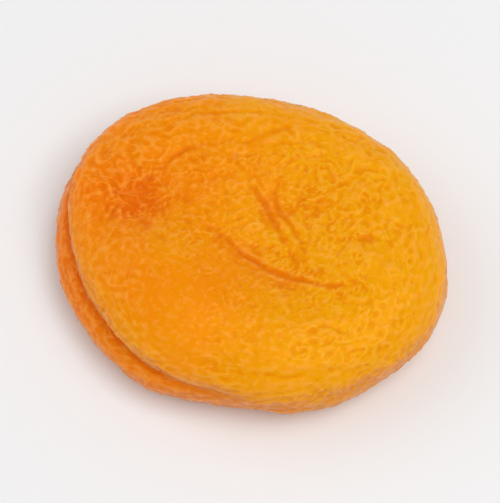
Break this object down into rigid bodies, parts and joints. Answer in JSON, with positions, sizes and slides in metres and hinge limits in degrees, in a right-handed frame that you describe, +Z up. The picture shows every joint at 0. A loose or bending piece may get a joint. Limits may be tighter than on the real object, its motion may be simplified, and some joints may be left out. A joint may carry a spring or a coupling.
{
  "type": "dried apricot",
  "caption": "Whole pitted dried apricot, pressed into a flat wrinkled oval, with a puckered stem hollow and a fold between lips in its rim.",
  "frame": {"origin": "on the surface that the fruit lies on, under the middle of its bounding box", "axes": "+X along the fruit's length, away from the stem hollow; +Z up, through its thickness, out of the dished side"},
  "size_m": [0.044, 0.0354, 0.0124],
  "materials": {
    "dried_flesh": "soft, slightly moist dried fruit flesh, amber and translucent, finely wrinkled all over, deeper orange in the hollows and yellower where it is thin at the rim"
  },
  "bodies": {
    "root": {"apricot": "dried_flesh"}
  },
  "joints": []
}
